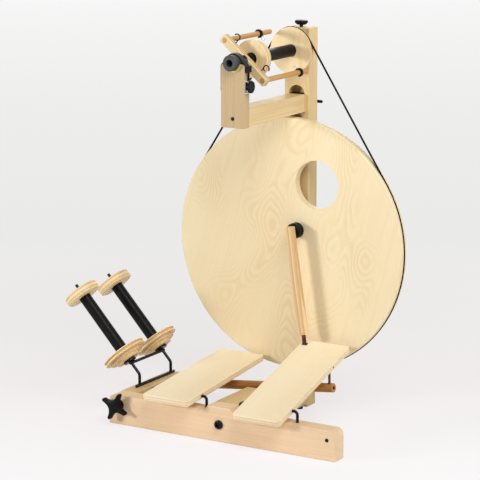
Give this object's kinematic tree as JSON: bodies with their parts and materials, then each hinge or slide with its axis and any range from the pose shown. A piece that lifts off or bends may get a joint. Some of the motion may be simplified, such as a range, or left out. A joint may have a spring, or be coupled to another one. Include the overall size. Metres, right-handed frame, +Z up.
{
  "type": "double treadle spinning wheel",
  "caption": "Upright wooden spinning wheel: treadles work a plywood drive wheel by a rocker and a footman, a belt drives the bobbin, and a braked flyer winds the yarn.",
  "frame": {"origin": "middle of the front beam's underside, on the floor", "axes": "+X to the right of a viewer in front, along the beam; +Y from the front beam back to the post; +Z up"},
  "size_m": [0.6453, 0.3787, 0.774],
  "materials": {
    "birch_ply": "oiled rotary-cut birch plywood, satin",
    "birch_wood": "oiled pale birch, satin",
    "beech_wood": "oiled beech, satin",
    "black_plastic": "moulded black plastic, satin",
    "graphite_plastic": "moulded dark grey plastic, satin",
    "black_steel": "black lacquered steel",
    "bright_steel": "bright turned steel",
    "yellow_nylon": "plain yellow bearing nylon, satin",
    "black_leather": "black leather",
    "red_leather": "red-brown leather",
    "black_rubber": "black rubber"
  },
  "bodies": {
    "base": {"front_beam": "beech_wood", "spine": "birch_wood", "post": "birch_wood", "beam_bolt": "black_steel", "spine_bolts": "black_steel", "black_screws": "black_steel", "rubber_feet": "black_rubber", "rocker_bracket": "black_steel", "rocker_pin": "bright_steel", "right_hinge_rod": "black_steel", "left_hinge_rod": "black_steel", "arm": "beech_wood", "arm_peg": "black_steel", "front_board": "birch_wood", "front_bearing": "yellow_nylon", "rear_bearing": "yellow_nylon", "wheel_bearings": "bright_steel", "brake_strap": "black_leather", "brake_clip": "black_plastic", "brake_plate": "bright_steel", "drive_belt": "black_rubber"},
    "lock_knob": {"lock_knob": "black_plastic"},
    "brake_knob": {"brake_knob": "black_plastic"},
    "star_knob": {"star_knob": "black_plastic"},
    "wheel": {"drive_wheel": "birch_ply", "wheel_hub": "bright_steel", "wheel_axle": "bright_steel", "axle_nut": "bright_steel", "crank_pin": "bright_steel", "crank_cap": "black_plastic"},
    "right_treadle": {"right_treadle": "birch_ply", "right_treadle_pins": "black_steel"},
    "left_treadle": {"left_treadle": "birch_ply", "left_treadle_pin": "black_steel"},
    "rocker": {"rocker": "beech_wood", "rocker_screws": "black_steel"},
    "right_link": {"right_link": "red_leather"},
    "left_link": {"left_link": "red_leather"},
    "footman": {"footman": "birch_wood", "footman_strap": "red_leather"},
    "flyer": {"orifice_hub": "graphite_plastic", "flyer_spindle": "bright_steel", "flyer_collar": "black_plastic", "flyer_crossbar": "beech_wood", "flyer_arms": "beech_wood", "guide_rings": "black_plastic"},
    "upper_hook": {"upper_hook": "black_plastic"},
    "lower_hook": {"lower_hook": "black_plastic"},
    "bobbin": {"bobbin_tube": "black_plastic", "bobbin_flange": "beech_wood", "bobbin_whorl": "beech_wood"},
    "rack": {"rack_rail": "birch_wood", "rack_frame": "black_steel", "rack_spindles": "black_steel"},
    "front_spare": {"front_spare_tube": "black_plastic", "front_spare_flange": "beech_wood", "front_spare_whorl": "beech_wood"},
    "rear_spare": {"rear_spare_tube": "black_plastic", "rear_spare_flange": "beech_wood", "rear_spare_whorl": "beech_wood"}
  },
  "joints": [
    {"name": "wheel_spin", "type": "hinge", "parent": "base", "child": "wheel", "pos_m": [0, 0.2565, 0.338], "axis": [0, 1, 0], "continuous": true},
    {"name": "bobbin_spin", "type": "hinge", "parent": "base", "child": "bobbin", "pos_m": [0, 0.2, 0.7185], "axis": [0, 1, 0], "continuous": true},
    {"name": "flyer_spin", "type": "hinge", "parent": "base", "child": "flyer", "pos_m": [0, 0.08, 0.7185], "axis": [0, 1, 0], "continuous": true},
    {"name": "upper_hook_slide", "type": "slide", "parent": "flyer", "child": "upper_hook", "axis": [0, 1, 0], "range_m": [-0.105, 0.038]},
    {"name": "lower_hook_slide", "type": "slide", "parent": "flyer", "child": "lower_hook", "axis": [0, 1, 0], "range_m": [-0.119, 0.025]},
    {"name": "right_treadle_tilt", "type": "hinge", "parent": "base", "child": "right_treadle", "pos_m": [0.0995, 0, 0.08], "axis": [1, 0, 0], "range_deg": [-18, 2], "deforming": ["right_link", "left_link"]},
    {"name": "left_treadle_tilt", "type": "hinge", "parent": "base", "child": "left_treadle", "pos_m": [-0.0995, 0, 0.08], "axis": [1, 0, 0], "range_deg": [-2, 18]},
    {"name": "rocker_tilt", "type": "hinge", "parent": "base", "child": "rocker", "pos_m": [0, 0.16, 0.06903], "axis": [0, 1, 0], "range_deg": [-2.4, 20.8]},
    {"name": "right_link_swing", "type": "hinge", "parent": "right_treadle", "child": "right_link", "pos_m": [0.142, 0.15804, 0.12741], "axis": [1, 0, 0], "range_deg": [-1, 7.5]},
    {"name": "left_link_swing", "type": "hinge", "parent": "left_treadle", "child": "left_link", "pos_m": [-0.142, 0.16429, 0.09524], "axis": [1, 0, 0], "range_deg": [-2.5, 0.5]},
    {"name": "footman_swing", "type": "hinge", "parent": "right_treadle", "child": "footman", "pos_m": [0.058, 0.21264, 0.14379], "axis": [1, 0, 0], "range_deg": [-2.8, 24.5]},
    {"name": "rack_tilt", "type": "hinge", "parent": "base", "child": "rack", "pos_m": [-0.228, 0.1, 0.04], "axis": [0, 1, 0], "range_deg": [-15, 15]},
    {"name": "star_knob_turn", "type": "hinge", "parent": "base", "child": "star_knob", "pos_m": [-0.228, -0.03, 0.04], "axis": [0, 1, 0], "range_deg": [0, 360]},
    {"name": "front_spare_spin", "type": "hinge", "parent": "rack", "child": "front_spare", "pos_m": [-0.24692, 0.057, 0.10467], "axis": [-0.6756, 0, 0.7373], "continuous": true},
    {"name": "rear_spare_spin", "type": "hinge", "parent": "rack", "child": "rear_spare", "pos_m": [-0.24692, 0.17, 0.10467], "axis": [-0.6756, 0, 0.7373], "continuous": true},
    {"name": "lock_knob_turn", "type": "hinge", "parent": "base", "child": "lock_knob", "pos_m": [0, 0.2935, 0.768], "axis": [0, 0, 1], "range_deg": [0, 360]},
    {"name": "brake_knob_turn", "type": "hinge", "parent": "base", "child": "brake_knob", "pos_m": [0.0345, 0.044, 0.6745], "axis": [1, 0, 0], "range_deg": [0, 360]}
  ],
  "couplings": [
    {"joint": "bobbin_spin", "follows": "wheel_spin", "ratio": 5.609},
    {"joint": "left_treadle_tilt", "follows": "right_treadle_tilt", "ratio": -1},
    {"joint": "rocker_tilt", "follows": "right_treadle_tilt", "ratio": -1.145},
    {"joint": "right_link_swing", "follows": "right_treadle_tilt", "ratio": -0.4},
    {"joint": "left_link_swing", "follows": "right_treadle_tilt", "ratio": 0.13},
    {"joint": "footman_swing", "follows": "right_treadle_tilt", "ratio": -1.35}
  ]
}
